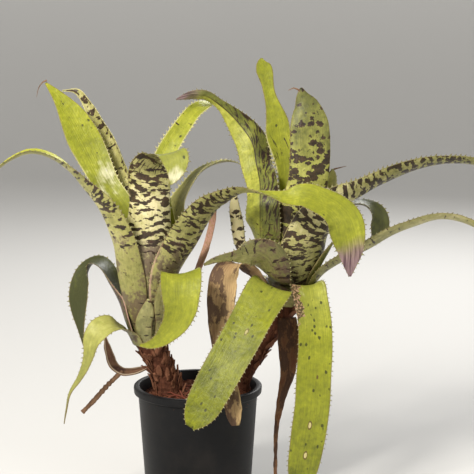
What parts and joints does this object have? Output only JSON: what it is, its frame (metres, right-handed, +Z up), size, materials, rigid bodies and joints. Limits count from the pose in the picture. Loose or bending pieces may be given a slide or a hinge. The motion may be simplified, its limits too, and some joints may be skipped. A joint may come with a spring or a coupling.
{
  "type": "potted bromeliad",
  "caption": "Young Aechmea orlandiana: vase-shaped rosettes of banded, spine-edged leaves on bare stems in a small round nursery pot.",
  "frame": {"origin": "middle of the pot's foot, on the surface that the pot stands on", "axes": "+Z up, -Y toward the viewer of the picture, +X to the viewer's right, toward the taller rosette"},
  "size_m": [0.3948, 0.1273, 0.346],
  "materials": {
    "blackPlastic": "satin black moulded polypropylene",
    "coir": "loose coir fibre and bark, dry and rough",
    "stemBark": "fibrous brown stem with old leaf scars",
    "brightLeaf": "waxy yellow-green leaf with sparse dark spots",
    "bandedLeaf": "waxy pale olive leaf with dark purple-brown crossbands",
    "driedLeaf": "dry papery tan leaf remains"
  },
  "bodies": {
    "root": {"pot": "blackPlastic", "pottingMix": "coir", "stemLeft": "stemBark", "stemRight": "stemBark", "leftDriedHook": "driedLeaf", "leftTall": "brightLeaf", "leftArch": "bandedLeaf", "leftFolded": "bandedLeaf", "leftFront": "bandedLeaf", "leftBright": "brightLeaf", "leftBack": "bandedLeaf", "leftLong": "bandedLeaf", "leftReflexed": "brightLeaf", "leftSide": "bandedLeaf", "leftLow": "brightLeaf", "leftScale": "bandedLeaf", "leftDriedStrip": "driedLeaf", "rightFolded": "bandedLeaf", "rightTall": "brightLeaf", "rightOval": "bandedLeaf", "rightBud": "bandedLeaf", "rightArm": "bandedLeaf", "rightLowArm": "bandedLeaf", "rightBack": "bandedLeaf", "rightYoung": "brightLeaf", "rightSmall": "brightLeaf", "rightPointed": "brightLeaf", "rightBroad": "brightLeaf", "rightHanging": "brightLeaf", "rightDried": "driedLeaf", "rightDriedBrown": "driedLeaf"}
  },
  "joints": []
}
